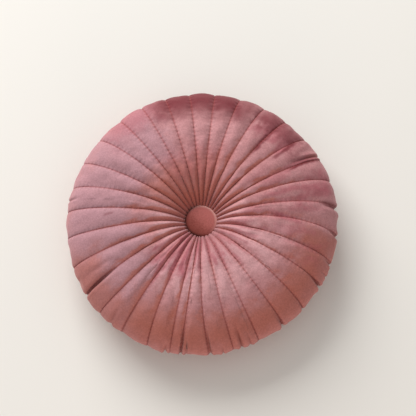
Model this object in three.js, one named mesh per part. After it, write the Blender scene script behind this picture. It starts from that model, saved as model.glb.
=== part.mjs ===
import * as THREE from "three";
import { mergeVertices } from "three/addons/utils/BufferGeometryUtils.js";

// A round throw pillow of pleated velvet with a covered button on each face.
// Millimetres. It lies on its back face: +Z is the way its front face looks,
// +Y the edge that is uppermost when it stands on a seat. Angles are in degrees,
// counted anticlockwise from +X as the front face is seen.

// Cover
const RIM_RADIUS = 200; // the widest reach of the gores
const RIM_PUFF = 3; // how far a gore bulges past its two seams at the rim
const SEAM_RADIUS = RIM_RADIUS - RIM_PUFF;
const CROWN = 48; // height of the seams above the middle plane, before the tuft draws them in
const RIM_ROUNDNESS = 0.6; // below 1 the rim is fuller than an ellipse
const TUFT_DEPTH = 39; // how far the twine draws each face in
const TUFT_REACH = 25; // the distance over which that pull fades
const REST_DEPTH = 46.5; // the back ridges are pressed flat this far below the middle plane
const SEAM_SAG = 16; // how far all the seams have slid towards -Y at the rim
const SEAM_SAG_POWER = 2.5;
const DRIFT_POWER = 4; // how late a seam's own drift sets in on its way to the rim

// Low waves of the outline, where the filling sits unevenly
const RIM_WAVES = [
  { lobes: 1, height: 0.9, at: 25 },
  { lobes: 2, height: 2.2, at: 29 },
  { lobes: 3, height: 0.9, at: 355 },
];

// Buttons
const BUTTON_RADIUS = 22.3;
const BUTTON_HEIGHT = 8.5;
const BUTTON_SIDE = 4.2; // height of its widest line above its flat back
const BUTTON_STEPS = 40;
const GAP = 0.3; // between a button's back and the cloth under it

// The flat seat of each button in the cover
const SEAT_RADIUS = 23;

// The first seam's angle at the tuft, and the gores that follow it anticlockwise. width is a gore's
// angle at the tuft, drift how far its first seam has strayed anticlockwise at the rim, and puff
// how full the gore is beside its neighbours.
const FIRST_SEAM = 12;
const GORES = [
  { width: 11.5, drift: -6, puff: 1.05 },
  { width: 8, drift: -8, puff: 0.85 },
  { width: 12.5, drift: -1, puff: 1.05 },
  { width: 9, drift: -9, puff: 0.95 },
  { width: 11, drift: -2, puff: 0.95 },
  { width: 10, drift: -5, puff: 1.05 },
  { width: 9.5, drift: -3, puff: 0.95 },
  { width: 9.5, drift: 0, puff: 1.0 },
  { width: 10.5, drift: 4, puff: 0.95 },
  { width: 10.5, drift: 2, puff: 1.0 },
  { width: 11, drift: 1, puff: 1.05 },
  { width: 10, drift: -1, puff: 0.95 },
  { width: 12.5, drift: 5, puff: 1.05 },
  { width: 11, drift: 3, puff: 1.0 },
  { width: 12.5, drift: 5, puff: 1.05 },
  { width: 13, drift: -2, puff: 1.0 },
  { width: 12, drift: -7, puff: 1.05 },
  { width: 12.5, drift: -3, puff: 1.05 },
  { width: 12.5, drift: -1, puff: 1.0 },
  { width: 11, drift: -10, puff: 1.1 },
  { width: 10.5, drift: -3, puff: 1.0 },
  { width: 12, drift: 6, puff: 1.05 },
  { width: 6.5, drift: 1, puff: 0.75 },
  { width: 8, drift: -5, puff: 0.9 },
  { width: 12.5, drift: 14, puff: 0.95 },
  { width: 13, drift: 10, puff: 1.0 },
  { width: 13.5, drift: 8, puff: 1.0 },
  { width: 14, drift: 8, puff: 0.95 },
  { width: 13, drift: 0, puff: 1.05 },
  { width: 12.5, drift: -1, puff: 1.0 },
  { width: 14, drift: -6, puff: 1.1 },
  { width: 10.5, drift: -13, puff: 0.95 },
];

// At each radius, how high a gore of full puff stands above its seams, and the sharpness of its
// crest: below 1 the crest is broad and the valleys are narrow.
const PUFF_BY_RADIUS = [
  { radius: SEAT_RADIUS, height: 0, sharpness: 1 },
  { radius: 28, height: 2.4, sharpness: 1 },
  { radius: 36, height: 4.4, sharpness: 0.95 },
  { radius: 50, height: 5.6, sharpness: 0.95 },
  { radius: 75, height: 5.8, sharpness: 0.9 },
  { radius: 110, height: 5.2, sharpness: 0.8 },
  { radius: 155, height: 4, sharpness: 0.62 },
  { radius: SEAM_RADIUS, height: RIM_PUFF, sharpness: 0.36 },
];

// The mesh: rings from the front seat to the rim, and the steps across one gore
const RING_RADII = [SEAT_RADIUS, 28, 36, 48, 64, 86, 112, 138, 160, 178, 190, 195.5];
const GORE_STEPS = [0, 0.09, 0.3, 0.5, 0.7, 0.91];

const COVER = new THREE.MeshStandardMaterial({ color: 0xb0767a, roughness: 0.85, metalness: 0 });
const BUTTON_CLOTH = new THREE.MeshStandardMaterial({ color: 0x96544f, roughness: 0.8, metalness: 0 });

const radians = THREE.MathUtils.degToRad;

// A gore's height over its seams and its sharpness at a radius, on straight lines between rows.
function puffAt(radius) {
  const next = PUFF_BY_RADIUS.findIndex((row) => row.radius > radius);
  if (next === 0) return PUFF_BY_RADIUS[0];
  if (next < 0) return PUFF_BY_RADIUS.at(-1);
  const [low, high] = [PUFF_BY_RADIUS[next - 1], PUFF_BY_RADIUS[next]];
  const share = (radius - low.radius) / (high.radius - low.radius);
  const { lerp } = THREE.MathUtils;
  return {
    height: lerp(low.height, high.height, share),
    sharpness: lerp(low.sharpness, high.sharpness, share),
  };
}

// A seam's radius and height at its angle over the rim: 0 is the front's middle,
// 90 degrees the rim and 180 the back's middle.
function seamLine(turn) {
  const radius = SEAM_RADIUS * Math.sin(turn) ** RIM_ROUNDNESS;
  const tuft = TUFT_DEPTH * Math.exp(-(Math.max(radius, SEAT_RADIUS) - SEAT_RADIUS) / TUFT_REACH);
  const dome = CROWN * Math.cos(turn);
  return new THREE.Vector2(radius, dome - Math.sign(Math.cos(turn)) * tuft);
}

// Angle over the rim at which the seams of the front reach a radius.
function turnAt(radius) {
  return Math.asin((radius / SEAM_RADIUS) ** (1 / RIM_ROUNDNESS));
}

// The direction square to the seam line, pointing out of the pillow.
function outward(turn) {
  const step = 0.01;
  const along = seamLine(turn + step).sub(seamLine(turn - step));
  return new THREE.Vector2(-along.y, along.x).normalize();
}

// One point of the cover, with the middle plane at z = 0.
function coverPoint(turn, { angle, share, puff, drift }) {
  const seam = seamLine(turn);
  const { height, sharpness } = puffAt(seam.x);
  const rise = height * puff * Math.sin(Math.PI * share) ** sharpness;
  const [radius, z] = seam.addScaledVector(outward(turn), rise);
  const reach = radius / RIM_RADIUS;
  const wave = RIM_WAVES.reduce((sum, w) => sum + w.height * Math.cos(w.lobes * (angle - radians(w.at))), 0);
  const full = radius + wave * reach ** 2;
  const drifted = angle + drift * reach ** DRIFT_POWER / full;
  const place = drifted - SEAM_SAG * reach ** SEAM_SAG_POWER * Math.cos(drifted) / full;
  return new THREE.Vector3(full * Math.cos(place), full * Math.sin(place), Math.max(z, -REST_DEPTH));
}

// Columns around the cover: each one's angle, its share of the way across its gore, and its drift.
function columnsAround() {
  const columns = [];
  let start = FIRST_SEAM;
  for (const [index, gore] of GORES.entries()) {
    const following = GORES[(index + 1) % GORES.length];
    for (const share of GORE_STEPS) {
      columns.push({
        angle: radians(start + share * gore.width),
        share,
        puff: gore.puff,
        drift: THREE.MathUtils.lerp(gore.drift, following.drift, share),
      });
    }
    start += gore.width;
  }
  return columns;
}

// The filled cover as one closed surface, from the front seat over the rim to the back seat.
function makeCushion() {
  const columns = columnsAround();
  const front = RING_RADII.map(turnAt);
  const back = front.map((turn) => Math.PI - turn).reverse();
  const turns = [...front, Math.PI / 2, ...back];
  const seatHeight = seamLine(front[0]).y;

  const points = [new THREE.Vector3(0, 0, seatHeight)];
  for (const turn of turns) {
    for (const column of columns) {
      points.push(coverPoint(turn, column));
    }
  }
  points.push(new THREE.Vector3(0, 0, -seatHeight));

  const around = columns.length;
  const last = points.length - 1;
  const at = (ring, column) => 1 + ring * around + (column % around);
  const faces = [];
  for (let column = 0; column < around; column += 1) {
    faces.push(0, at(0, column), at(0, column + 1));
    for (let ring = 0; ring < turns.length - 1; ring += 1) {
      const [a, b] = [at(ring, column), at(ring, column + 1)];
      const [c, d] = [at(ring + 1, column), at(ring + 1, column + 1)];
      faces.push(a, c, d, a, d, b);
    }
    faces.push(last, at(turns.length - 1, column + 1), at(turns.length - 1, column));
  }

  const geometry = new THREE.BufferGeometry().setFromPoints(points);
  geometry.setIndex(faces);
  geometry.computeVertexNormals();
  const mesh = new THREE.Mesh(geometry, COVER);
  mesh.name = "cushion";
  return { mesh, seatHeight };
}

// A covered button: flat back, rounded side and low dome, turned about its own axis.
function makeButton(name) {
  const side = new THREE.Vector2(BUTTON_RADIUS, BUTTON_SIDE);
  const lower = new THREE.QuadraticBezierCurve(
    new THREE.Vector2(BUTTON_RADIUS - 3, 0),
    new THREE.Vector2(BUTTON_RADIUS, 0.4),
    side,
  );
  const upper = new THREE.CubicBezierCurve(
    side,
    new THREE.Vector2(BUTTON_RADIUS, BUTTON_SIDE + 3),
    new THREE.Vector2(BUTTON_RADIUS * 0.55, BUTTON_HEIGHT),
    new THREE.Vector2(0, BUTTON_HEIGHT),
  );
  const profile = [new THREE.Vector2(0, 0), ...lower.getPoints(3), ...upper.getPoints(8).slice(1)];
  const turned = new THREE.LatheGeometry(profile, BUTTON_STEPS);
  turned.deleteAttribute("normal");
  turned.deleteAttribute("uv");
  const geometry = mergeVertices(turned);
  geometry.rotateX(Math.PI / 2);
  geometry.computeVertexNormals();
  const mesh = new THREE.Mesh(geometry, BUTTON_CLOTH);
  mesh.name = name;
  return mesh;
}

const { mesh: cushion, seatHeight } = makeCushion();
const frontButton = makeButton("front_button");
frontButton.position.z = seatHeight + GAP;
const backButton = makeButton("back_button");
backButton.position.z = -seatHeight - GAP;
backButton.rotation.x = Math.PI;

const pillow = new THREE.Group();
pillow.add(cushion, frontButton, backButton);

// The origin is under the middle of the outline, on the surface the pillow lies on.
cushion.geometry.computeBoundingBox();
const middle = cushion.geometry.boundingBox.getCenter(new THREE.Vector3());
pillow.position.set(-middle.x, -middle.y, REST_DEPTH);

const part = new THREE.Group();
part.add(pillow);

export default part;
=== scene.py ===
import math
from collections import namedtuple

import bpy
import numpy as np
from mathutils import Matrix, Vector


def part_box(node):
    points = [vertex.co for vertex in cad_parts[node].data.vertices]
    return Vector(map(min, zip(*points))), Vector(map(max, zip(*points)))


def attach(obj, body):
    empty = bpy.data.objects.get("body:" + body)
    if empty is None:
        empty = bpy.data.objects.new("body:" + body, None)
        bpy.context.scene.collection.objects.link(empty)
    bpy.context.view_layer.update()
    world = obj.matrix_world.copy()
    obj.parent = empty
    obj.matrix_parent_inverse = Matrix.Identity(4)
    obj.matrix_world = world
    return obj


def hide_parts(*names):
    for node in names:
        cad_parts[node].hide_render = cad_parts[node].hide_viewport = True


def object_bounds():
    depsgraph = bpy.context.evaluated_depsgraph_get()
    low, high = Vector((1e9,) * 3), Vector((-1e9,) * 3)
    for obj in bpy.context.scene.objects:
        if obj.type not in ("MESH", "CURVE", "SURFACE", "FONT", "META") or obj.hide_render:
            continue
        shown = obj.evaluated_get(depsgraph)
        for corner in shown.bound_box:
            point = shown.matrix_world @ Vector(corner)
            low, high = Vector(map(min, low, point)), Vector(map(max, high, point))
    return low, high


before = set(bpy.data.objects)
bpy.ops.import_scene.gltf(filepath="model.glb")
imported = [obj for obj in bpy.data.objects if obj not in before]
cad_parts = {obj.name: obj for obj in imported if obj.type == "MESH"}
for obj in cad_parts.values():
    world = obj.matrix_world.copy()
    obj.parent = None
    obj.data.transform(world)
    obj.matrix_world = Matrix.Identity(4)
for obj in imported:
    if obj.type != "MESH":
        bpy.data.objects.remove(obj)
cad_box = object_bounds()

# Shape functions work in millimetres round the tuft's axis, with the middle plane at z = 0. Angles
# are in degrees in the tables, anticlockwise from +X as the front face is seen. A reach is the radius
# on the front, and past the rim RIM_RADIUS plus the length beyond it. A pair of reaches, radii or
# angles named as a fade gives where it begins and where it is full.
MM = 0.001
TINY = 1e-9  # counts as nothing, and keeps a division by a length from failing

# Cover: the outline, seam line and tuft of the solid
RIM_RADIUS = 200.0
RIM_PUFF = 3.0
SEAM_RADIUS = RIM_RADIUS - RIM_PUFF
CROWN = 48.0
RIM_ROUNDNESS = 0.6
TUFT_DEPTH = 39.0
TUFT_REACH = 25.0
SEAM_SAG = 16.0
SEAM_SAG_POWER = 2.5
DRIFT_POWER = 4
RIM_WAVES = [  # low waves of the outline
    # lobes, height, angle of the first crest
    (1, 0.9, 25.0),
    (2, 2.2, 29.0),
    (3, 0.9, 355.0),
]
SEAT_RADIUS = 23.0  # where the tuft's wall meets the flat seat of the button
PLEAT_START = 17.0  # the pleats run on under the button to here
COLLAR_HEIGHT = 1.3  # how far the gathered cloth swells up against the button's side
COLLAR_RADII = (24.0, 34.0)  # it is full inside the first and gone outside the second

# The first seam's angle at the tuft, and the gores after it, anticlockwise: a gore's angle at the
# tuft, the drift of its first seam at the rim, its fullness beside its neighbours, and its lean,
# above 1 where the crest lies past the middle.
FIRST_SEAM = 12.0
GORES = [
    # width, drift, puff, lean
    (11.5, -6.0, 1.05, 0.95),
    (8.0, -8.0, 0.85, 1.00),
    (12.5, -1.0, 1.05, 1.08),
    (9.0, -9.0, 0.95, 1.00),
    (11.0, -2.0, 0.95, 1.05),
    (10.0, -5.0, 1.05, 1.05),
    (9.5, -3.0, 0.95, 1.00),
    (9.5, 0.0, 1.00, 1.05),
    (10.5, 4.0, 0.95, 1.00),
    (10.5, 2.0, 1.00, 0.95),
    (11.0, 1.0, 1.05, 0.95),
    (10.0, -1.0, 0.95, 1.00),
    (12.5, 5.0, 1.05, 0.92),
    (11.0, 3.0, 1.00, 0.95),
    (12.5, 5.0, 1.05, 0.92),
    (13.0, -2.0, 1.00, 0.95),
    (12.0, -7.0, 1.05, 0.92),
    (12.5, -3.0, 1.05, 0.95),
    (12.5, -1.0, 1.00, 0.92),
    (11.0, -10.0, 1.10, 0.95),
    (10.5, -3.0, 1.00, 1.05),
    (12.0, 6.0, 1.05, 1.00),
    (6.5, 1.0, 0.75, 1.00),
    (8.0, -5.0, 0.90, 0.95),
    (12.5, 14.0, 0.95, 1.05),
    (13.0, 10.0, 1.00, 1.00),
    (13.5, 8.0, 1.00, 1.05),
    (14.0, 8.0, 0.95, 1.05),
    (13.0, 0.0, 1.05, 1.08),
    (12.5, -1.0, 1.00, 1.05),
    (14.0, -6.0, 1.10, 1.08),
    (10.5, -13.0, 0.95, 1.00),
]
GORE_WIDTHS, GORE_DRIFTS, GORE_PUFFS, GORE_LEANS = np.array(GORES).T

# Down the seam from the tuft: the height of a full gore over its seams, and its sharpness, below 1
# where the crest is broad and the valley narrow.
PUFF_BY_RADIUS = [
    # radius, height, sharpness
    (PLEAT_START, 0.0, 1.00),
    (22.0, 1.8, 0.80),
    (28.0, 2.5, 0.85),
    (36.0, 3.7, 0.85),
    (50.0, 5.1, 0.90),
    (75.0, 5.8, 0.90),
    (110.0, 5.2, 0.80),
    (155.0, 4.0, 0.62),
    (185.0, 2.9, 0.42),
    (SEAM_RADIUS, 2.5, 0.32),
]
PUFF_RADII, PUFF_HEIGHTS, PUFF_SHARPNESSES = np.array(PUFF_BY_RADIUS).T

# Creases in the cloth away from the seams. Each runs along its gore at one place, given as the angle
# at the middle of its length, between two reaches. Depth is below the cloth, width from the crease's
# bottom to where it has mostly faded, and shade how dark its bottom looks.
CREASES = [
    # angle, from reach, to reach, depth, width, shade
    (169.8, 188.0, 214.0, 1.8, 4.5, 0.3),
    (211.8, 156.0, 206.0, 3.0, 7.0, 0.4),
    (228.0, 184.0, 208.0, 1.4, 5.0, 0.2),
    (254.0, 196.0, 222.0, 5.0, 5.5, 0.9),
    (260.5, 172.0, 212.0, 2.6, 4.5, 0.4),
    (263.0, 184.0, 212.0, 1.8, 4.0, 0.4),
    (273.2, 172.0, 214.0, 2.8, 5.0, 0.7),
    (278.8, 194.0, 216.0, 2.4, 4.0, 0.6),
    (287.0, 174.0, 214.0, 3.4, 5.5, 0.7),
    (291.0, 186.0, 216.0, 2.2, 4.5, 0.5),
    (307.0, 190.0, 226.0, 4.2, 6.5, 0.9),
    (318.2, 194.0, 216.0, 2.2, 5.0, 0.3),
    (330.2, 188.0, 224.0, 4.2, 6.5, 0.6),
    (335.2, 194.0, 216.0, 1.8, 5.0, 0.3),
    (340.5, 194.0, 216.0, 2.2, 5.0, 0.3),
    (352.8, 192.0, 216.0, 2.6, 6.0, 0.3),
    (5.0, 184.0, 216.0, 3.2, 7.0, 0.3),
    (29.7, 164.0, 206.0, 2.6, 5.0, 0.4),
    (343.0, 120.0, 176.0, 1.0, 7.0, 0.0),
    (206.0, 150.0, 186.0, 0.9, 6.0, 0.0),
]
CREASE_COLUMNS = [-1.1, -0.55, 0.0, 0.55, 1.1]  # columns beside a crease's bottom, in widths
CREASE_BOTTOM = 0.45  # how wide its bottom is, in widths
CREASE_SHOULDER_WIDTH = 0.6  # how wide the swelling on either side of it is, in widths
CREASE_SHOULDER = 0.35  # how high that swelling is, as a share of the depth
CREASE_SOFT_END = 0.4  # how softly it ends, as a share of its length

# Small lumps of the filling, which leave the seams and the tuft alone
# height, seed, number of waves, wavelength
LUMPS = [
    (0.9, 10, 30, 75.0),
    (0.45, 11, 40, 24.0),
]
LUMP_SHARPNESS = 0.6
LUMP_FADE = (SEAT_RADIUS, 90.0)

# Random waves run at shares of their wavelength between these two, and many of them together rise
# this high beside the root of their number
WAVELENGTH_SHARES = (0.6, 1.5)
WAVE_PEAK = 1.2

# Mesh of the cover: columns in one gore, from its seam to its middle, and the number of rings
HALF_GORE_STEPS = [0.0, 0.012, 0.03, 0.06, 0.10, 0.15, 0.21, 0.28, 0.35, 0.42]
FRONT_RINGS = 78
BACK_RINGS = 50
SEAM_SAMPLES = 4001  # points at which a seam's length is measured
SEARCH_STEPS = 50  # columns in half a gore among which a crease's line is looked for
SAME_COLUMN = 1e-6  # degrees by which a column may miss the seam that it lies on

# Cloth simulation that fills the gores, on a coarser cover held along its seams and under its
# buttons. It starts slacker than the finished pillow, and swells with the spare cloth it has.
SIM_HALF_STEPS = [0.0, 0.1, 0.22, 0.36]
SIM_FRONT_RINGS = 56
SIM_BACK_RINGS = 40
SIM_FADE = (40.0, 90.0)  # it takes over from the tuft's drawn-in pleats between these radii
SIM_START = 0.8  # share of the gores' height at the start
SIM_SPARE_CLOTH = 0.02
SIM_PRESSURE = 4.0
SIM_VERTEX_MASS = 0.01
SIM_QUALITY = 5
SIM_FRAMES = 20
SIM_CAP = 5.0  # the furthest that a point may move
SIM_SMOOTHINGS = 3  # rounds of smoothing when its result is carried over to the fine cover

# Colours, from 0 to 255. A painted tone further down lies over those before it.
DARK_VELVET = (165, 113, 115)
LIGHT_VELVET = (179, 127, 130)
TONES = {
    "lilac": (167, 126, 134),
    "pale": (200, 152, 156),
    "amber": (183, 102, 85),
    "russet": (162, 94, 82),
    "rose": (156, 83, 92),
    "crimson": (106, 40, 47),
}
# painted shade along the seams' lines and painted shadow in the stitches' pits
SEAM_SHADE_COLOUR = (142, 52, 48)
# painted shade in the creases, at the lower edge's seams and beside the front button
CREASE_SHADE_COLOUR = (84, 30, 26)
THREAD_COLOURS = ((140, 82, 82), (164, 102, 102))
BUTTON_COLOURS = ((136, 68, 62), (178, 100, 94))
# painted shade and light on a button's sides, a painted highlight on its lit edge, painted shade on its
# shaded edge
BUTTON_SHADED_SIDE = (116, 50, 40)
BUTTON_LIT_SIDE = (192, 112, 108)
BUTTON_LIT_EDGE = (232, 178, 170)
BUTTON_SHADED_EDGE = (66, 22, 18)
SHEEN_COLOUR = (255, 214, 214)
FLOOR_COLOUR = (229, 227, 222)

# Tones painted over the cover: partly the lie of the pile, where stroking or pressing has laid it
# another way, and partly painted light and shade: a dark crimson band along the upper rim where the
# velvet faces the light, russet and amber painted shade on the lower edge and above the tuft, and
# pale and lilac painted highlights where the cloth turns to the light. Each patch runs over a span
# of angles and of reach; edge is how softly it fades, rough how far its edge wanders, and streak
# how much it breaks up into streaks along the gores.
PILE_AND_LIGHT_PATCHES = [
    # tone, angles, reaches, strength, edge, rough, streak
    ("lilac", (112, 236), (92, 200), 0.85, 24, 14, 0.1),
    ("pale", (236, 352), (52, 122), 0.85, 20, 10, 0.2),
    ("pale", (-24, 20), (22, 66), 0.90, 12, 6, 0.2),
    ("pale", (162, 222), (22, 70), 0.80, 12, 6, 0.2),
    ("pale", (58, 112), (116, 160), 0.25, 16, 8, 0.1),
    ("amber", (62, 158), (16, 56), 0.90, 16, 6, 0.1),
    ("amber", (18, 62), (16, 60), 0.45, 12, 6, 0.4),
    ("russet", (68, 154), (40, 92), 0.78, 22, 6, 0.1),
    ("russet", (230, 352), (150, 204), 0.92, 30, 6, 0.0),
    ("russet", (222, 300), (190, 330), 0.35, 20, 6, 0.0),
    ("russet", (296, 352), (186, 330), 0.75, 20, 6, 0.0),
    ("rose", (216, 256), (24, 96), 0.90, 10, 8, 0.6),
    ("rose", (66, 128), (48, 110), 0.35, 22, 10, 0.3),
    ("rose", (250, 300), (24, 72), 0.85, 10, 8, 0.8),
    ("rose", (-62, 8), (30, 92), 0.50, 10, 10, 1.0),
    ("russet", (196, 236), (158, 240), 0.70, 24, 8, 0.1),
    ("rose", (8, 58), (146, 206), 0.70, 18, 18, 0.7),
    ("rose", (-24, 40), (88, 186), 0.42, 24, 16, 0.8),
    ("rose", (108, 138), (162, 240), 0.55, 20, 8, 0.1),
    ("crimson", (68, 112), (160, 240), 1.00, 24, 6, 0.0),
    ("crimson", (36, 76), (168, 240), 0.75, 14, 12, 0.3),
]

# How the patches' edges wander
# height, seed, number of waves, wavelength
RAGGED_EDGE = [
    (0.6, 8, 40, 34.0),
    (0.4, 9, 60, 11.0),
]

# The streaks that a patch breaks up into: random waves read round a circle, with the reach shortened
# so that they are drawn out along the gores, and broken up by others
# height, seed, number of waves, wavelength
PILE_STREAKS = [
    (1.0, 13, 60, 9.0),
]
PILE_BREAKS = [
    (0.3, 14, 40, 14.0),
]
PILE_STREAK_CIRCLE = 100.0
PILE_STREAK_SHORTENING = 0.12
PILE_STREAK_EDGE = (-0.7, 0.7)

# Single strokes of other pile, each along a path over the cover, partly painted shade where they follow
# the gores' darker flanks
PILE_AND_SHADE_STROKES = [
    # tone, from angle, reach, to angle, reach, strength, width
    ("crimson", 50.0, 190.0, 51.5, 122.0, 0.95, 6.5),
    ("crimson", 39.0, 204.0, 38.5, 134.0, 1.00, 5.5),
    ("crimson", 34.5, 200.0, 33.0, 150.0, 0.60, 7.0),
    ("crimson", 27.6, 194.0, 28.0, 148.0, 1.00, 4.5),
    ("russet", 29.8, 202.0, 29.8, 176.0, 0.80, 4.0),
    ("rose", 15.5, 168.0, 12.5, 198.0, 0.90, 9.0),
    ("crimson", 7.0, 180.0, 4.5, 206.0, 0.60, 8.0),
    ("rose", 3.0, 100.0, 353.5, 151.0, 0.85, 9.0),
    ("rose", 16.0, 96.0, 16.5, 160.0, 0.65, 8.0),
    ("rose", 231.0, 40.0, 233.0, 122.0, 0.85, 6.0),
    ("rose", 243.0, 34.0, 243.5, 108.0, 0.90, 7.0),
    ("rose", 255.0, 30.0, 254.0, 100.0, 0.90, 7.0),
    ("rose", 268.0, 28.0, 268.0, 88.0, 0.85, 6.0),
    ("rose", 281.0, 28.0, 282.0, 76.0, 0.75, 5.0),
    ("rose", 293.0, 30.0, 295.0, 88.0, 0.70, 6.0),
    ("rose", 307.0, 34.0, 309.0, 98.0, 0.65, 6.0),
    ("rose", 320.0, 34.0, 324.0, 104.0, 0.60, 6.0),
    ("rose", 348.0, 40.0, 346.0, 104.0, 0.65, 7.0),
    ("crimson", 177.0, 128.0, 178.0, 142.0, 0.50, 4.0),
]
STROKE_SOFT_END = 0.25  # how softly a stroke ends, as a share of its length
STROKE_CORE = 0.15  # how wide it is at full strength, as a share of its width
STROKE_WANDER = 0.35  # how far it wanders to the side, as a share of its width
STROKE_EVENNESS = 0.6  # share of its strength that the streaks leave alone

# Painted shade: how amber the valleys between the gores are painted near the tuft, and where that fades in
# and out
VALLEY_SHADE_AMBER = 0.5
VALLEY_SHARPNESS = 1.3
VALLEY_FADE_IN = (SEAT_RADIUS, 40.0)
VALLEY_FADE_OUT = (130.0, 70.0)

# Painted shade: on the front, cloth that faces away from this direction, the key light's, is painted
# more amber, between these two shares of facing it, and less so near the rim
KEY_LIGHT_HEADING = (-0.385, 0.797, 0.465)
FLANK_FACING = (0.27, -0.03)
FLANK_SHADE_AMBER = 0.7
FLANK_FADE = (195.0, 145.0)

# How dark the seams look where they turn under at the lower edge
RIM_SEAM_SHADE = 0.5
RIM_SEAM_WIDTH = 1.1
RIM_SEAM_ANGLE = 274.0  # the middle of that edge
RIM_SEAM_ANGLE_FADE = (75.0, 35.0)  # degrees to either side
RIM_SEAM_FADE = (120.0, 185.0)

# A seam's line of painted shade is drawn narrower towards the tuft, where the distance from it counts 1 +
# this times
SEAM_NARROWING = 4.0
SEAM_NARROWING_FADE = (90.0, 25.0)

# Buttons
BUTTONS = [
    # piece, the node that it replaces, 1 where it faces up and -1 where it faces down
    ("front_covered_button", "front_button", 1),
    ("back_covered_button", "back_button", -1),
]
BUTTON_RADIUS = 24.3
BUTTON_HEIGHT = 8.5
BUTTON_COLUMNS = 160
BUTTON_TOP_RINGS = 11
BUTTON_TOP_SHARE = 0.62  # share of the radius that the gently domed top takes
BUTTON_TOP_DROP = 0.55  # how far that top falls to its edge
BUTTON_FLANK = [  # from the top's edge down the side to the flat back, as shares of radius and height
    (0.70, 0.91),
    (0.78, 0.875),
    (0.85, 0.825),
    (0.905, 0.765),
    (0.945, 0.70),
    (0.972, 0.63),
    (0.99, 0.56),
    (1.0, 0.47),
    (0.998, 0.36),
    (0.985, 0.22),
    (0.96, 0.08),
    (0.90, 0.0),
]
BUTTON_GATHERS = 26  # small gathers of its cloth where it turns under
BUTTON_GATHER_DEPTH = 0.55
BUTTON_GATHER_FADE = (0.62, 0.1)  # shares of the height
BUTTON_GATHER_WAVE = (3, 0.8)  # lobes and size of the wave that spaces them unevenly
BUTTON_OUTLINE_WAVE = (5, 1.0, 0.12)  # lobes, start and height of a low wave of its outline
BUTTON_LUMPS = [
    # height, seed, number of waves, wavelength
    (0.12, 12, 12, 16.0),
]
BUTTON_LUMP_FADE = (0.2, 0.6)  # shares of the height
BUTTON_LUMP_CAP = 0.3  # the furthest that they rise over its height
BUTTON_EDGE_FADES = ((0.80, 0.93), (0.3, 0.55))  # shares of the radius and of the height
BUTTON_LIT_ANGLE = 48.0  # the side painted lighter, as light falling on it
BUTTON_SHADE_ANGLE = 188.0  # the side where its edge and the cloth beside it look darkest
BUTTON_SHADE_FACING = (-0.3, 0.6)  # between these shares of facing that side
BUTTON_SHADE = 0.85
CLOTH_SHADE = 0.6 * BUTTON_SHADE  # on the cloth beside it
CLOTH_SHADE_WIDTH = 1.3

# Material of the velvet. Noises give repeats a metre, detail and roughness, and fades give where a
# share is 0 and where it is 1.
SPECKLE_CONTRAST = (0.3, 0.7)
MOTTLE = (75, 4, 0.62)
TONE_BREAKS = (260, 3, 0.6)  # noise that breaks up the tones' edges
TONE_BREAK_STRENGTH = 0.45
TONE_BREAK_FADE = (-0.2, 0.45)
GRAIN = (420, 3, 0.8)
GRAIN_GREYS = (0.82, 1.16)  # the colour is multiplied by these
PILE = (1400, 2, 0.6)
PILE_HEIGHT = 0.16
CRUSH = (130, 3, 0.6)
CRUSH_HEIGHT = 0.5
COVER_BUMP = 0.8
CREASE_STRENGTH = 0.85
# Painted shade along each seam's line, and painted shadow in its stitches' pits
SEAM_LINE_FADE = (2.0, 0.2)
SEAM_LINE_STRENGTH = 0.32
PIT_FADE = (1.9, 0.5)
PIT_LENGTH_FADE = (0.28, 0.05)  # in stitch pitches
PIT_STRENGTH = 0.1
PIT_DEPTH = 0.12
PUCKER_FADE = (7.0, 0.5)
PUCKER_HEIGHT = 0.3
PUCKER_TURN = 3.9  # radians of a pucker's wave in one stitch pitch
THREAD_TWIST = (2500, 2, 0.5)
BUTTON_MOTTLE = (420, 4, 0.7)
BUTTON_DARK_FADE = (0.1, -0.9)  # shares of facing its lit side
BUTTON_LIT_FADE = (-0.3, 0.9)
BUTTON_SIDE_STRENGTH = 0.9
BUTTON_BUMP = 0.6

# Stitches along the seams, each a thin spindle half sunk in the cloth
STITCH_PITCH = 4.5
STITCH_LENGTH = 3.0
STITCH_RADIUS = 0.17
STITCH_SIDES = 5
STITCH_PROFILE = [  # from tip to tip, with the length and the radius as 1
    (-0.5, 0.0),
    (-0.36, 0.8),
    (0.0, 1.0),
    (0.36, 0.8),
    (0.5, 0.0),
]
STITCH_SHIFT = 0.37  # pitches by which each seam's stitches start later than those of the seam before
STITCH_LIFT = 0.1  # height of a stitch's middle line over the seam
STITCH_FLOOR_GAP = 0.3

# Camera: angle from the face's normal towards -Y, distance in metres, and what its image shows
CAMERA_TILT = 14.0
CAMERA_DISTANCE = 3.0
SENSOR_WIDTH_MM = 36.0
IMAGE_SIDE_PX = 416
PX_PER_M_AT_TUFT = 677.0
TUFT_PX = (200.7, 223.2)  # where the middle of the pillow lies in the image, from its top left corner

# Studio, in metres
FLOOR_SIDE = 8.0
WORLD_COLOUR = (1.0, 0.985, 0.97, 1.0)
WORLD_STRENGTH = 0.5
LIGHT_AIM = (0.0, 0.0, 0.05)
LIGHTS = [
    # name, place, side, energy, colour
    ("key", (-1.45, 3.0, 1.75), 3.0, 200.0, (1.0, 0.98, 0.96)),
    ("bounce", (0.1, -1.5, 0.12), 0.8, 12.0, (1.0, 0.8, 0.68)),
]

Columns = namedtuple("Columns", "angle share number")


def tuft_middle():
    """The point on the tuft's axis in the middle plane, in the frame of the solid."""
    front_low, front_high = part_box("front_button")
    _, back_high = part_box("back_button")
    axis = (front_low + front_high) / 2
    return Vector((axis.x, axis.y, (front_low.z + back_high.z) / 2))


CENTRE = tuft_middle()
FLOOR_DEPTH = CENTRE.z / MM  # how far the floor lies under the middle plane


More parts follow.
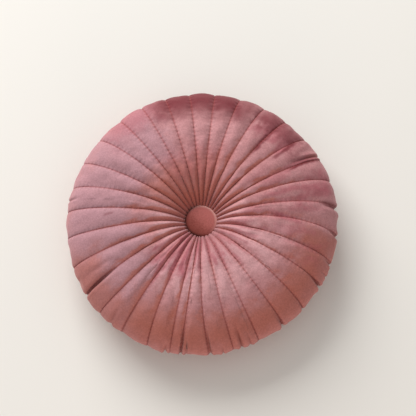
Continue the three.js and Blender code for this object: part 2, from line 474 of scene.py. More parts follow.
def srgb(red, green, blue):
    """A colour given in 0 to 255 as linear light, with alpha."""
    def linear(value):
        value = value / 255
        return value / 12.92 if value <= 0.04045 else ((value + 0.055) / 1.055) ** 2.4
    return (linear(red), linear(green), linear(blue), 1.0)


def smoothstep(low, high, value):
    """0 at low, 1 at high and smooth between them. Low may be the greater."""
    share = np.clip((value - low) / (high - low), 0, 1)
    return share * share * (3 - 2 * share)


def bell(distance, width):
    """1 at no distance, about a third at the width, and nearly 0 at twice the width."""
    return np.exp(-(distance / width) ** 2)


def turn_from(start, end):
    """The shorter turn from one angle to another, in degrees, above 0 when anticlockwise."""
    return (end - start + 180) % 360 - 180


def waves(points, rows):
    """Smooth random heights in space, the same in each run, from rows that each give a height, a
    seed, a number of waves and their wavelength."""
    total = 0
    for height, seed, count, wavelength in rows:
        random = np.random.default_rng(seed)
        level = np.zeros(points.shape[:-1])
        for _ in range(count):
            heading = random.normal(size=3)
            heading /= np.linalg.norm(heading)
            length = wavelength * random.uniform(*WAVELENGTH_SHARES)
            phase = random.uniform(0, 2 * math.pi)
            level += np.cos(2 * math.pi * (points @ heading) / length + phase)
        total = total + height * (level / math.sqrt(count) / WAVE_PEAK)
    return total


def radius_of(points):
    """The distance of each point from the tuft's axis."""
    return np.hypot(points[..., 0], points[..., 1])


def angle_of(points):
    """The angle of each point round the tuft's axis, in degrees."""
    return np.degrees(np.arctan2(points[..., 1], points[..., 0]))


def reach_of(points):
    """The radius of each point on the front, and past the rim RIM_RADIUS plus the length beyond."""
    radius, height = radius_of(points), points[..., 2]
    beyond = RIM_RADIUS + np.hypot(RIM_RADIUS - radius, height)
    return np.where(height >= 0, radius, beyond)


# The cover's form

def seam_line(turn):
    """A seam's radius and height over its turn: 0 at the front's middle, a quarter turn at the rim."""
    radius = SEAM_RADIUS * np.sin(turn) ** RIM_ROUNDNESS
    tuft = TUFT_DEPTH * np.exp(-(np.maximum(radius, SEAT_RADIUS) - SEAT_RADIUS) / TUFT_REACH)
    return radius, CROWN * np.cos(turn) - np.sign(np.cos(turn)) * tuft


def turn_at(radius):
    """The turn at which the seams of the front reach a radius."""
    return math.asin(min(1.0, radius / SEAM_RADIUS) ** (1 / RIM_ROUNDNESS))


def seam_lengths():
    """Fine turns along a whole seam, and the length run at each."""
    first = turn_at(PLEAT_START)
    turns = np.linspace(first, math.pi - first, SEAM_SAMPLES)
    radius, height = seam_line(turns)
    steps = np.hypot(np.diff(radius), np.diff(height))
    return turns, np.concatenate([[0], np.cumsum(steps)])


def ring_turns(front, back):
    """Turns of the rings, evenly spaced along the seam on the front and, more widely, on the back."""
    fine, length = seam_lengths()
    rim = length[len(fine) // 2]
    marks = np.concatenate([np.linspace(0, rim, front + 1)[:-1], np.linspace(rim, length[-1], back)])
    return np.interp(marks, length, fine)


def gore_columns(half_steps, extra=()):
    """The columns round the cover: each one's angle at the tuft, share of its gore, and gore number.
    Half_steps are the shares from a gore's seam to its middle, and extra the angles of more columns."""
    steps = half_steps + [0.5] + [1 - step for step in reversed(half_steps[1:])]
    starts = FIRST_SEAM + np.concatenate([[0], np.cumsum(GORE_WIDTHS)])
    angle = (starts[:-1, None] + np.array(steps) * GORE_WIDTHS[:, None]).ravel()
    extra = FIRST_SEAM + (np.asarray(extra, dtype=float) - FIRST_SEAM) % 360
    angle = np.sort(np.concatenate([angle, extra]))
    number = np.searchsorted(starts, angle + SAME_COLUMN, side="right") - 1
    number = np.clip(number, 0, len(GORES) - 1)
    share = np.clip((angle - starts[number]) / GORE_WIDTHS[number], 0, 1)
    share[share < TINY] = 0
    return Columns(np.radians(angle), share, number)


def gore_height(radius, columns):
    """How far each column stands over its seams at each radius."""
    height = np.interp(radius, PUFF_RADII, PUFF_HEIGHTS)
    sharpness = np.interp(radius, PUFF_RADII, PUFF_SHARPNESSES)
    crest = np.sin(math.pi * columns.share ** GORE_LEANS[columns.number])
    return height * GORE_PUFFS[columns.number] * crest ** sharpness


def cover_points(turns, columns, lift=0.0, fullness=1.0):
    """Points of the cover as rings of columns, in millimetres, raised by lift along its normal."""
    angle, share, number = columns
    radius, z = seam_line(turns)
    step = 0.01
    ahead, behind = seam_line(turns + step), seam_line(turns - step)
    along_r, along_z = ahead[0] - behind[0], ahead[1] - behind[1]
    length = np.hypot(along_r, along_z)
    out_r, out_z = -along_z / length, along_r / length
    collar = COLLAR_HEIGHT * (1 - smoothstep(*COLLAR_RADII, radius[:, None]))
    rise = fullness * gore_height(radius[:, None], columns) + collar + lift
    full = radius[:, None] + out_r[:, None] * rise
    height = z[:, None] + out_z[:, None] * rise
    reach = full / RIM_RADIUS
    for lobes, wave, first in RIM_WAVES:
        full = full + wave * np.cos(lobes * (angle - math.radians(first))) * reach ** 2
    drift = (1 - share) * GORE_DRIFTS[number] + share * GORE_DRIFTS[(number + 1) % len(GORES)]
    drifted = angle + drift * reach ** DRIFT_POWER / full
    place = drifted - SEAM_SAG * reach ** SEAM_SAG_POWER * np.cos(drifted) / full
    return np.stack([full * np.cos(place), full * np.sin(place), height], axis=-1)


def normals_of(points):
    """Unit normals of rings of columns, pointing out of the pillow."""
    around = np.roll(points, -1, axis=1) - np.roll(points, 1, axis=1)
    down = np.gradient(points, axis=0)
    normal = np.cross(down, around)
    return normal / np.maximum(np.linalg.norm(normal, axis=-1, keepdims=True), TINY)


def grid_faces(rings, columns):
    """Quads between the rings, and a fan over each end to the two points that follow the rings."""
    ring, column = np.meshgrid(np.arange(rings - 1), np.arange(columns), indexing="ij")
    following = (column + 1) % columns
    quads = np.stack([
        ring * columns + column,
        (ring + 1) * columns + column,
        (ring + 1) * columns + following,
        ring * columns + following,
    ], axis=-1).reshape(-1, 4).tolist()
    front, back = rings * columns, rings * columns + 1
    last = (rings - 1) * columns
    fans = []
    for start in range(columns):
        after = (start + 1) % columns
        fans.append((front, start, after))
        fans.append((back, last + after, last + start))
    return quads + fans


def new_object(name, vertices, faces, material):
    """A smooth-shaded mesh object from points in millimetres round the tuft's axis."""
    placed = np.asarray(vertices) * MM + np.array(CENTRE)
    mesh = bpy.data.meshes.new(name)
    mesh.from_pydata(placed.tolist(), [], faces)
    mesh.update()
    mesh.shade_smooth()
    if material:
        mesh.materials.append(material)
    piece = bpy.data.objects.new(name, mesh)
    bpy.context.scene.collection.objects.link(piece)
    return piece


def add_numbers(piece, name, values):
    """Stores a number on each vertex of a piece, for its material to read: the rings' own, and 0 on
    the two end points."""
    stored = piece.data.attributes.new(name, "FLOAT", "POINT")
    stored.data.foreach_set("value", np.append(values, [0, 0]).astype(np.float32))


# Creases

def crease_angles():
    """For each crease, the angle at the tuft of the line that it follows."""
    even = gore_columns([0.5 * step / SEARCH_STEPS for step in range(SEARCH_STEPS)])
    found = []
    for angle, low, high, *_ in CREASES:
        turn = turn_at(min((low + high) / 2, RIM_RADIUS))
        places = cover_points(np.array([turn]), even)[0]
        nearest = np.argmin(np.abs(turn_from(angle, angle_of(places))))
        found.append(math.degrees(even.angle[nearest]))
    return found


def faded_ends(share, soft):
    """1 between the two ends of a path, and 0 beyond them, by the share of its length."""
    return smoothstep(-soft, soft, share) * smoothstep(1 + soft, 1 - soft, share)


def crease_forms(points, columns, lines):
    """How deep the creases lie at each point, and how dark they look."""
    radius, reach = radius_of(points), reach_of(points)
    depth_here, shade_here = np.zeros(reach.shape), np.zeros(reach.shape)
    for line, (_, low, high, depth, width, shade) in zip(lines, CREASES):
        aside = np.radians(turn_from(line, np.degrees(columns.angle))) * radius
        fade = faded_ends((reach - low) / (high - low), CREASE_SOFT_END)
        bottom = bell(aside, CREASE_BOTTOM * width)
        shoulders = CREASE_SHOULDER * bell(np.abs(aside) - width, CREASE_SHOULDER_WIDTH * width)
        depth_here += depth * fade * (bottom - shoulders)
        shade_here = np.maximum(shade_here, shade * fade ** 2 * bottom ** 2)
    return depth_here, shade_here


# Cloth simulation

def simulated_share(turns):
    """How much of each ring's form comes from the simulation."""
    return smoothstep(*SIM_FADE, seam_line(turns)[0])[:, None]


def slack_points(turns, columns):
    """The cover as the simulation starts from it, its gores not yet full."""
    return cover_points(turns, columns, fullness=1 - (1 - SIM_START) * simulated_share(turns))


def simulate_filling(turns, columns):
    """How far the filling's pressure moves each point of a slack cover held along its seams."""
    start = slack_points(turns, columns)
    rings, count = start.shape[:2]
    ends = [[0, 0, start[0, 0, 2]], [0, 0, start[-1, 0, 2]]]
    vertices = np.concatenate([start.reshape(-1, 3), ends])
    slack = new_object("slack_cover", vertices, grid_faces(rings, count), None)
    held = np.zeros((rings, count), dtype=bool)
    held[:, columns.share == 0] = True
    held[:2] = held[-2:] = True
    end_points = [rings * count, rings * count + 1]
    group = slack.vertex_groups.new(name="held")
    group.add(np.flatnonzero(held.ravel()).tolist() + end_points, 1.0, "REPLACE")
    cloth = slack.modifiers.new("Cloth", "CLOTH")
    settings = cloth.settings
    settings.quality = SIM_QUALITY
    settings.mass = SIM_VERTEX_MASS
    settings.vertex_group_mass = "held"
    settings.use_pressure = True
    settings.uniform_pressure_force = SIM_PRESSURE
    settings.shrink_min = -SIM_SPARE_CLOTH
    settings.effector_weights.gravity = 0
    cloth.collision_settings.use_collision = False
    cloth.point_cache.frame_start = 1
    cloth.point_cache.frame_end = SIM_FRAMES
    scene = bpy.context.scene
    for number in range(1, SIM_FRAMES + 1):
        scene.frame_set(number)
    result = slack.evaluated_get(bpy.context.evaluated_depsgraph_get()).data
    moved = np.empty(len(result.vertices) * 3)
    result.vertices.foreach_get("co", moved)
    moved = (moved.reshape(-1, 3)[:rings * count] - np.array(CENTRE)) / MM
    offset = moved.reshape(start.shape) - start
    slack_mesh = slack.data
    bpy.data.objects.remove(slack)
    bpy.data.meshes.remove(slack_mesh)
    scene.frame_set(1)
    far = np.linalg.norm(offset, axis=-1, keepdims=True)
    return offset * np.minimum(1, SIM_CAP / np.maximum(far, TINY))


def resample(offset, old_turns, old_columns, turns, columns):
    """Offsets of a coarse cover carried over to a finer one, and smoothed."""
    places = old_columns.number + old_columns.share
    wanted = columns.number + columns.share
    across = np.empty((len(old_turns), len(wanted), 3))
    fine = np.empty((len(turns), len(wanted), 3))
    for axis in range(3):
        for ring, row in enumerate(offset):
            across[ring, :, axis] = np.interp(wanted, places, row[:, axis], period=len(GORES))
        for column in range(len(wanted)):
            fine[:, column, axis] = np.interp(turns, old_turns, across[:, column, axis])
    for _ in range(SIM_SMOOTHINGS):
        fine[1:-1] = (fine[:-2] + 2 * fine[1:-1] + fine[2:]) / 4
        fine = (np.roll(fine, 1, axis=1) + 2 * fine + np.roll(fine, -1, axis=1)) / 4
    return fine


def filled_points(turns, columns):
    """Points of the filled cover."""
    coarse = gore_columns(SIM_HALF_STEPS)
    coarse_turns = ring_turns(SIM_FRONT_RINGS, SIM_BACK_RINGS)
    offset = simulate_filling(coarse_turns, coarse)
    offset = resample(offset, coarse_turns, coarse, turns, columns)
    return slack_points(turns, columns) + offset * simulated_share(turns)[..., None]


# What the velvet's material reads from the cover

def away_side(angle):
    """How far an angle round the button lies on its shaded side."""
    return smoothstep(*BUTTON_SHADE_FACING, np.cos(angle - math.radians(BUTTON_SHADE_ANGLE)))


def seam_measures(turns, columns, radius):
    """At each point, how far it counts as from its nearest seam, that seam's run and its number."""
    width = np.radians(GORE_WIDTHS[columns.number]) * radius
    narrowing = 1 + SEAM_NARROWING * smoothstep(*SEAM_NARROWING_FADE, radius)
    from_seam = np.minimum(columns.share, 1 - columns.share) * width * narrowing
    fine, length = seam_lengths()
    run = np.interp(turns, fine, length)[:, None] + np.zeros_like(radius)
    nearest = (columns.number + (columns.share > 0.5)) % len(GORES)
    return from_seam, run, nearest + np.zeros_like(radius)


def cloth_shade(points, from_seam, crease_shade):
    """How dark the cloth looks in its creases, at the lower edge's seams and beside the button."""
    angle, reach = angle_of(points), reach_of(points)
    lower_edge = smoothstep(*RIM_SEAM_ANGLE_FADE, np.abs(turn_from(RIM_SEAM_ANGLE, angle)))
    lower_edge = lower_edge * smoothstep(*RIM_SEAM_FADE, reach)
    at_seams = RIM_SEAM_SHADE * lower_edge * bell(from_seam, RIM_SEAM_WIDTH)
    by_button = CLOTH_SHADE * bell(reach - BUTTON_RADIUS, CLOTH_SHADE_WIDTH)
    by_button = by_button * away_side(np.radians(angle))
    return np.maximum(np.maximum(crease_shade, at_seams), by_button)


def stroke_shape(points, start, low, end, high, width, ragged):
    """How fully a stroke covers each point, along its path from one place to another."""
    share = (reach_of(points) - low) / (high - low)
    path = start + turn_from(start, end) * np.clip(share, 0, 1)
    aside = np.radians(turn_from(path, angle_of(points))) * radius_of(points)
    wander = STROKE_WANDER * width * ragged
    across = smoothstep(width, STROKE_CORE * width, np.abs(aside + wander))
    return faded_ends(share, STROKE_SOFT_END) * across


def pile_and_light_tones(points, share, out):
    """How strongly each painted tone shows at each point: the pile's lie, and painted light and shade."""
    angle, radius, reach = angle_of(points), radius_of(points), reach_of(points)
    ragged = waves(points, RAGGED_EDGE)
    turned = np.radians(angle)
    drawn_out = np.stack([
        PILE_STREAK_CIRCLE * np.cos(turned),
        PILE_STREAK_CIRCLE * np.sin(turned),
        PILE_STREAK_SHORTENING * reach,
    ], axis=-1)
    streaks = waves(drawn_out, PILE_STREAKS) + waves(points, PILE_BREAKS)
    streaks = smoothstep(*PILE_STREAK_EDGE, streaks)
    tones = {tone: np.zeros(radius.shape) for tone in TONES}
    for tone, (first, last), (low, high), strength, edge, rough, streak in PILE_AND_LIGHT_PATCHES:
        middle, half = (first + last) / 2, (last - first) / 2
        aside = np.radians(half - np.abs(turn_from(middle, angle))) * radius
        inside = np.minimum(aside, np.minimum(reach - low, high - reach))
        patch = strength * smoothstep(-edge, edge, inside + rough * ragged)
        tones[tone] = np.maximum(tones[tone], patch * (1 - streak * (1 - streaks)))
    for tone, start, low, end, high, strength, width in PILE_AND_SHADE_STROKES:
        stroke = strength * stroke_shape(points, start, low, end, high, width, ragged)
        evened = STROKE_EVENNESS + (1 - STROKE_EVENNESS) * streaks
        tones[tone] = np.maximum(tones[tone], stroke * evened)
    # Painted shade: amber in the valleys near the tuft, and on the front where the cloth faces away from
    # the key light
    valley = VALLEY_SHADE_AMBER * (1 - np.sin(math.pi * share)) ** VALLEY_SHARPNESS
    valley = valley * smoothstep(*VALLEY_FADE_IN, radius) * smoothstep(*VALLEY_FADE_OUT, radius)
    flank = FLANK_SHADE_AMBER * smoothstep(*FLANK_FACING, out @ np.array(KEY_LIGHT_HEADING))
    flank = np.where(points[..., 2] > 0, flank * smoothstep(*FLANK_FADE, radius), 0)
    tones["amber"] = np.maximum(tones["amber"], np.maximum(valley, flank))
    return tones


def make_cover(material):
    """The velvet cover, creased and lumpy, with what its material reads stored on its points."""
    lines = crease_angles()
    extra = [
        line + math.degrees(step * width / RIM_RADIUS)
        for line, (*_, width, _) in zip(lines, CREASES)
        for step in CREASE_COLUMNS
    ]
    columns = gore_columns(HALF_GORE_STEPS, extra)
    turns = ring_turns(FRONT_RINGS, BACK_RINGS)
    points = filled_points(turns, columns)
    out = normals_of(points)
    depth, crease_shade = crease_forms(points, columns, lines)
    points = points - out * depth[..., None]
    radius = radius_of(points)
    lumps = waves(points, LUMPS) * np.sin(math.pi * columns.share) ** LUMP_SHARPNESS
    lumps = lumps * smoothstep(*LUMP_FADE, radius)
    points = points + out * lumps[..., None]
    points[..., 2] = np.maximum(points[..., 2], -FLOOR_DEPTH)

    rings, count = points.shape[:2]
    seat = seam_line(turns)[1][0]
    vertices = np.concatenate([points.reshape(-1, 3), [[0, 0, seat], [0, 0, -seat]]])
    cover = new_object("cushion_cover", vertices, grid_faces(rings, count), material)

    from_seam, run, number = seam_measures(turns, columns, radius)
    numbers = {
        "from_seam": from_seam,
        "seam_run": run,
        "seam_number": number,
        "fold_shade": cloth_shade(points, from_seam, crease_shade),
    }
    numbers.update(pile_and_light_tones(points, columns.share, out))
    for name, values in numbers.items():
        add_numbers(cover, name, values)
    return cover


# Stitches and buttons

def spindle_points(centres, aside, up):
    """Points of one thread: its two tips, and a ring of points round each centre between them."""
    points = [centres[0]]
    for centre, side_way, up_way, (_, swell) in list(zip(centres, aside, up, STITCH_PROFILE))[1:-1]:
        for side in range(STITCH_SIDES):
            turn = 2 * math.pi * side / STITCH_SIDES
            spread = math.cos(turn) * side_way + math.sin(turn) * up_way
            points.append(centre + STITCH_RADIUS * swell * spread)
    return points + [centres[-1]]


def spindle_faces(base):
    """Faces of one thread whose first tip is point number base."""
    first = base + 1
    tip = first + (len(STITCH_PROFILE) - 2) * STITCH_SIDES
    last = tip - STITCH_SIDES
    faces = []
    for side in range(STITCH_SIDES):
        after = (side + 1) % STITCH_SIDES
        faces.append((base, first + after, first + side))
        for low in range(first, last, STITCH_SIDES):
            high = low + STITCH_SIDES
            faces.append((low + side, low + after, high + after, high + side))
        faces.append((last + side, last + after, tip))
    return faces


def make_stitches(material):
    """Short threads along every seam."""
    turns, length = seam_lengths()
    usable = length[-1] - 2 * STITCH_PITCH
    count = int(usable // STITCH_PITCH)
    vertices, faces = [], []
    for index in range(len(GORES)):
        seam = FIRST_SEAM + sum(GORE_WIDTHS[:index])
        shift = (index * STITCH_SHIFT) % 1.0
        middles = STITCH_PITCH * (1 + shift + np.arange(count))
        marks = np.stack([middles + share * STITCH_LENGTH for share, _ in STITCH_PROFILE])
        marks = np.interp(marks.ravel(), length, turns)
        column = Columns(np.array([math.radians(seam)]), np.array([0.0]), np.array([index]))
        shape = (len(STITCH_PROFILE), count, 3)
        at = cover_points(marks, column, lift=STITCH_LIFT).reshape(shape)
        up = at - cover_points(marks, column, lift=STITCH_LIFT - 1).reshape(shape)
        aside = np.cross((at[-1] - at[0])[None], up)
        aside /= np.linalg.norm(aside, axis=-1, keepdims=True)
        for stitch in range(count):
            faces += spindle_faces(len(vertices))
            vertices += spindle_points(at[:, stitch], aside[:, stitch], up[:, stitch])
    vertices = np.array(vertices)
    vertices[:, 2] = np.maximum(vertices[:, 2], STITCH_FLOOR_GAP - FLOOR_DEPTH)
    return new_object("seam_stitches", vertices, faces, material)


def button_profile():
    """Radius and height of each ring of a button, from its top's middle down to its flat back."""
    steps = np.linspace(0, 1, BUTTON_TOP_RINGS + 1)[1:]
    top_radius = steps * BUTTON_RADIUS * BUTTON_TOP_SHARE
    top_height = BUTTON_HEIGHT - BUTTON_TOP_DROP * steps ** 2
    flank_radius, flank_height = np.array(BUTTON_FLANK).T
    radius = np.concatenate([top_radius, BUTTON_RADIUS * flank_radius])
    height = np.concatenate([top_height, BUTTON_HEIGHT * flank_height])
    return radius[:, None], height[:, None]


def make_button(name, node_name, facing, material):
    """A cloth-covered button over its plain solid: soft dome, and gathers where its cloth turns under."""
    low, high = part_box(node_name)
    base = ((low.z if facing > 0 else high.z) - CENTRE.z) / MM
    angle = np.linspace(0, 2 * math.pi, BUTTON_COLUMNS, endpoint=False)
    radius, height = button_profile()
    height = height + np.zeros(BUTTON_COLUMNS)
    tall = height / BUTTON_HEIGHT
    lobes, size = BUTTON_GATHER_WAVE
    gathers = np.abs(np.sin(BUTTON_GATHERS / 2 * angle + size * np.sin(lobes * angle)))
    drawn_in = smoothstep(*BUTTON_GATHER_FADE, tall) * BUTTON_GATHER_DEPTH
    radius = radius - drawn_in * (1 - gathers) ** 2
    lobes, first, size = BUTTON_OUTLINE_WAVE
    radius = radius + size * np.sin(lobes * angle + first) * radius / BUTTON_RADIUS
    points = np.stack([radius * np.cos(angle), radius * np.sin(angle), height], axis=-1)
    points[..., 2] += waves(points, BUTTON_LUMPS) * smoothstep(*BUTTON_LUMP_FADE, tall)
    points[..., 2] = np.clip(points[..., 2], 0, BUTTON_HEIGHT + BUTTON_LUMP_CAP)
    points[..., 2] = base + facing * points[..., 2]
    faces = grid_faces(*points.shape[:2])
    if facing < 0:
        faces = [tuple(reversed(face)) for face in faces]
    ends = [[0, 0, base + facing * BUTTON_HEIGHT], [0, 0, base]]
    button = new_object(name, np.concatenate([points.reshape(-1, 3), ends]), faces, material)

    # Painted light towards BUTTON_LIT_ANGLE with a painted highlight at its edge, and painted shade on the
    # edge towards BUTTON_SHADE_ANGLE
    lit = math.radians(BUTTON_LIT_ANGLE)
    towards = (points[..., 0] * math.cos(lit) + points[..., 1] * math.sin(lit)) / BUTTON_RADIUS
    outer, upper = BUTTON_EDGE_FADES
    edge = smoothstep(*outer, radius / BUTTON_RADIUS) * smoothstep(*upper, tall)
    add_numbers(button, "lit_side", towards)
    add_numbers(button, "rim_edge", edge)
    add_numbers(button, "rim_shade", BUTTON_SHADE * edge * away_side(angle))
    return button


# Materials. Noise scales are in repeats a metre.

def node(tree, kind, **settings):
    """A new node with these properties set."""
    made = tree.nodes.new(kind)
    for key, value in settings.items():
        setattr(made, key, value)
    return made


def feed(tree, value, socket):
    """Gives a socket its value: a number, a colour, or the output of another node."""
    if isinstance(value, (tuple, float, int)):
        socket.default_value = value
    else:
        tree.links.new(value, socket)


def attribute(tree, name):
    """The number stored on the mesh under this name."""
    return node(tree, "ShaderNodeAttribute", attribute_name=name).outputs["Fac"]


def maths(tree, operation, *values, clamp=False):
    """The result of a Math node."""
    made = node(tree, "ShaderNodeMath", operation=operation, use_clamp=clamp)
    for value, socket in zip(values, made.inputs):
        feed(tree, value, socket)
    return made.outputs[0]


def times(tree, first, second):
    """The product of two numbers, each a number or the output of a node."""
    return maths(tree, "MULTIPLY", first, second)


def noise(tree, scale, detail, roughness):
    """Noise in space from 0 to 1."""
    made = node(tree, "ShaderNodeTexNoise")
    made.inputs["Scale"].default_value = scale
    made.inputs["Detail"].default_value = detail
    made.inputs["Roughness"].default_value = roughness
    where = node(tree, "ShaderNodeTexCoord").outputs["Object"]
    tree.links.new(where, made.inputs["Vector"])
    return made.outputs["Fac"]


def ramp(tree, value, low, high):
    """Value stretched so that low becomes 0 and high 1, and held between them."""
    made = node(tree, "ShaderNodeMapRange")
    made.inputs["From Min"].default_value = low
    made.inputs["From Max"].default_value = high
    tree.links.new(value, made.inputs["Value"])
    return made.outputs["Result"]


def speckle(tree, scale, detail, roughness):
    """Noise with more contrast: its low and high stretches are plain 0 and 1."""
    return ramp(tree, noise(tree, scale, detail, roughness), *SPECKLE_CONTRAST)


def blend(tree, share, first, second, mode="MIX"):
    """Two colours, each a colour or the output of a node, mixed by a share."""
    made = node(tree, "ShaderNodeMix", data_type="RGBA", blend_type=mode, clamp_factor=True)
    colour_sockets = [socket for socket in made.inputs if socket.type == "RGBA"]
    feed(tree, share, made.inputs["Factor"])
    feed(tree, first, colour_sockets[0])
    feed(tree, second, colour_sockets[1])
    return next(socket for socket in made.outputs if socket.type == "RGBA")


def velvet_shader(name):
    """A new velvet material with its node tree and shader, with the sheen of its short pile."""
    material = bpy.data.materials.new(name)
    material.use_nodes = True
    shader = material.node_tree.nodes["Principled BSDF"]
    shader.inputs["Roughness"].default_value = 0.9
    shader.inputs["Specular IOR Level"].default_value = 0.25
    shader.inputs["Sheen Weight"].default_value = 0.3
    shader.inputs["Sheen Roughness"].default_value = 0.45
    shader.inputs["Sheen Tint"].default_value = srgb(*SHEEN_COLOUR)
    return material, material.node_tree, shader


def add_bump(tree, shader, height, strength):
    """Bump from heights in millimetres, for what is too fine for the mesh."""
    bump = node(tree, "ShaderNodeBump")
    bump.inputs["Strength"].default_value = strength
    bump.inputs["Distance"].default_value = MM
    tree.links.new(height, bump.inputs["Height"])
    tree.links.new(bump.outputs["Normal"], shader.inputs["Normal"])


def pile_height(tree):
    """Height of the fine pile and its small crush marks."""
    pile = times(tree, noise(tree, *PILE), PILE_HEIGHT)
    crush = times(tree, noise(tree, *CRUSH), CRUSH_HEIGHT)
    return maths(tree, "ADD", pile, crush)


def pile_and_light_colour(tree):
    """The cover's colour, with its painted tones: the pile's lie, and painted light and shade."""
    colour = blend(tree, speckle(tree, *MOTTLE), srgb(*DARK_VELVET), srgb(*LIGHT_VELVET))
    breaks = times(tree, maths(tree, "SUBTRACT", speckle(tree, *TONE_BREAKS), 0.5), TONE_BREAK_STRENGTH)
    for tone, tone_colour in TONES.items():
        share = attribute(tree, tone)
        broken = ramp(tree, maths(tree, "ADD", share, breaks), *TONE_BREAK_FADE)
        colour = blend(tree, times(tree, share, broken), colour, srgb(*tone_colour))
    return colour


def cover_velvet():
    """Velvet that shows the pile's tones with their painted light and shade, the seams' lines and their
    stitches' pits in painted shade, and the creases' painted shade.
    """
    material, tree, shader = velvet_shader("cover_velvet")
    from_seam = attribute(tree, "from_seam")
    pitches = maths(tree, "DIVIDE", attribute(tree, "seam_run"), STITCH_PITCH)
    shift = times(tree, attribute(tree, "seam_number"), STITCH_SHIFT)
    pitches = maths(tree, "ADD", pitches, shift)

    # Painted shade along the seam's line, and a small pit at the end of each stitch, darkened as painted
    # shadow
    line = ramp(tree, from_seam, *SEAM_LINE_FADE)
    from_end = maths(tree, "PINGPONG", pitches, 0.5)
    pit = times(tree, ramp(tree, from_end, *PIT_LENGTH_FADE), ramp(tree, from_seam, *PIT_FADE))
    seam = times(tree, line, SEAM_LINE_STRENGTH)
    seam = maths(tree, "ADD", seam, times(tree, pit, PIT_STRENGTH), clamp=True)
    colour = blend(tree, seam, pile_and_light_colour(tree), srgb(*SEAM_SHADE_COLOUR))

    # The grain of the pile, and the painted shade of the creases
    dark, light = ((grey, grey, grey, 1.0) for grey in GRAIN_GREYS)
    grain = blend(tree, speckle(tree, *GRAIN), dark, light)
    colour = blend(tree, 1.0, colour, grain, mode="MULTIPLY")
    crease = times(tree, attribute(tree, "fold_shade"), CREASE_STRENGTH)
    colour = blend(tree, crease, colour, srgb(*CREASE_SHADE_COLOUR))
    tree.links.new(colour, shader.inputs["Base Color"])

    # Puckers that the thread draws in, fading away from the seam
    wave = maths(tree, "SINE", times(tree, pitches, PUCKER_TURN))
    near = ramp(tree, from_seam, *PUCKER_FADE)
    pucker = times(tree, times(tree, wave, near), PUCKER_HEIGHT)
    pucker = maths(tree, "SUBTRACT", pucker, times(tree, pit, PIT_DEPTH))
    height = maths(tree, "ADD", pile_height(tree), pucker)
    add_bump(tree, shader, height, COVER_BUMP)
    return material


def button_velvet():
    """Velvet painted darker on one side of a button as shade, lighter on the other as light, and lightest
    at that edge as a highlight.
    """
    material, tree, shader = velvet_shader("button_velvet")
    darker, lighter = BUTTON_COLOURS
    colour = blend(tree, speckle(tree, *BUTTON_MOTTLE), srgb(*darker), srgb(*lighter))
    lit_side = attribute(tree, "lit_side")
    dark = times(tree, ramp(tree, lit_side, *BUTTON_DARK_FADE), BUTTON_SIDE_STRENGTH)
    light = times(tree, ramp(tree, lit_side, *BUTTON_LIT_FADE), BUTTON_SIDE_STRENGTH)
    lit_edge = times(tree, light, attribute(tree, "rim_edge"))
    for share, side_colour in [
        (dark, BUTTON_SHADED_SIDE),
        (light, BUTTON_LIT_SIDE),
        (lit_edge, BUTTON_LIT_EDGE),
        (attribute(tree, "rim_shade"), BUTTON_SHADED_EDGE),
    ]:
        colour = blend(tree, share, colour, srgb(*side_colour))
    tree.links.new(colour, shader.inputs["Base Color"])
    add_bump(tree, shader, pile_height(tree), BUTTON_BUMP)
    return material


def plain_material(name):
    """A new material and its shader."""
    material = bpy.data.materials.new(name)
    material.use_nodes = True
    return material, material.node_tree.nodes["Principled BSDF"]


def seam_thread():
    """Matt thread with a fine twist."""
    material, shader = plain_material("seam_thread")
    tree = material.node_tree
    dark, light = THREAD_COLOURS
    colour = blend(tree, speckle(tree, *THREAD_TWIST), srgb(*dark), srgb(*light))
    tree.links.new(colour, shader.inputs["Base Color"])
    shader.inputs["Roughness"].default_value = 0.7
    return material


# Camera and studio

def place_towards(thing, place, aim):
    """Links a camera or light to the scene at a place, and turns it to look at another."""
    bpy.context.scene.collection.objects.link(thing)
    thing.location = place
    thing.rotation_mode = "QUATERNION"
    thing.rotation_quaternion = (Vector(aim) - Vector(place)).to_track_quat("-Z", "Y")


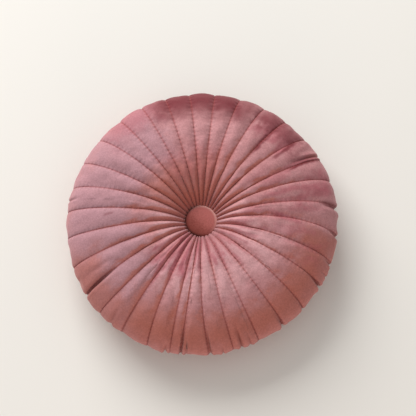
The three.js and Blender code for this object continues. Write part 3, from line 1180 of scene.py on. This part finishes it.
def make_camera():
    """The camera that sees the pillow as the photo does, tilted from the face's normal."""
    data = bpy.data.cameras.new("camera")
    data.sensor_width = SENSOR_WIDTH_MM
    data.lens = PX_PER_M_AT_TUFT * CAMERA_DISTANCE * SENSOR_WIDTH_MM / IMAGE_SIDE_PX
    tilt = math.radians(CAMERA_TILT)
    towards = Vector((0, -math.sin(tilt), math.cos(tilt)))
    up = Vector((0, math.cos(tilt), math.sin(tilt)))
    right = Vector((1, 0, 0))
    middle = IMAGE_SIDE_PX / 2
    aim = CENTRE + right * ((middle - TUFT_PX[0]) / PX_PER_M_AT_TUFT)
    aim = aim + up * ((TUFT_PX[1] - middle) / PX_PER_M_AT_TUFT)
    camera = bpy.data.objects.new("camera", data)
    place_towards(camera, CENTRE + towards * CAMERA_DISTANCE, aim)
    bpy.context.scene.camera = camera


def make_light(name, place, side, energy, colour):
    """A square, soft studio light."""
    data = bpy.data.lights.new(name, "AREA")
    data.shape = "SQUARE"
    data.size = side
    data.energy = energy
    data.color = colour
    place_towards(bpy.data.objects.new(name, data), place, LIGHT_AIM)


def make_stage():
    """A pale floor under the part, and soft studio light."""
    half = FLOOR_SIDE / 2
    corners = [(-half, -half, 0), (half, -half, 0), (half, half, 0), (-half, half, 0)]
    mesh = bpy.data.meshes.new("floor")
    mesh.from_pydata(corners, [], [(0, 1, 2, 3)])
    floor = bpy.data.objects.new("floor", mesh)
    floor.location.z = cad_box[0].z
    bpy.context.scene.collection.objects.link(floor)
    material, shader = plain_material("pale_floor")
    shader.inputs["Base Color"].default_value = srgb(*FLOOR_COLOUR)
    shader.inputs["Roughness"].default_value = 0.8
    mesh.materials.append(material)

    world = bpy.data.worlds.new("studio")
    world.use_nodes = True
    background = world.node_tree.nodes["Background"]
    background.inputs["Color"].default_value = WORLD_COLOUR
    background.inputs["Strength"].default_value = WORLD_STRENGTH
    bpy.context.scene.world = world
    for light in LIGHTS:
        make_light(*light)
    bpy.context.scene.view_settings.view_transform = "Standard"


make_camera()
make_stage()

cover = make_cover(cover_velvet())
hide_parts("cushion")

stitches = make_stitches(seam_thread())

button_cloth = button_velvet()
for name, node_name, facing in BUTTONS:
    button = make_button(name, node_name, facing, button_cloth)
    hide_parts(node_name)
    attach(button, "root")
for piece in (cover, stitches):
    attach(piece, "root")
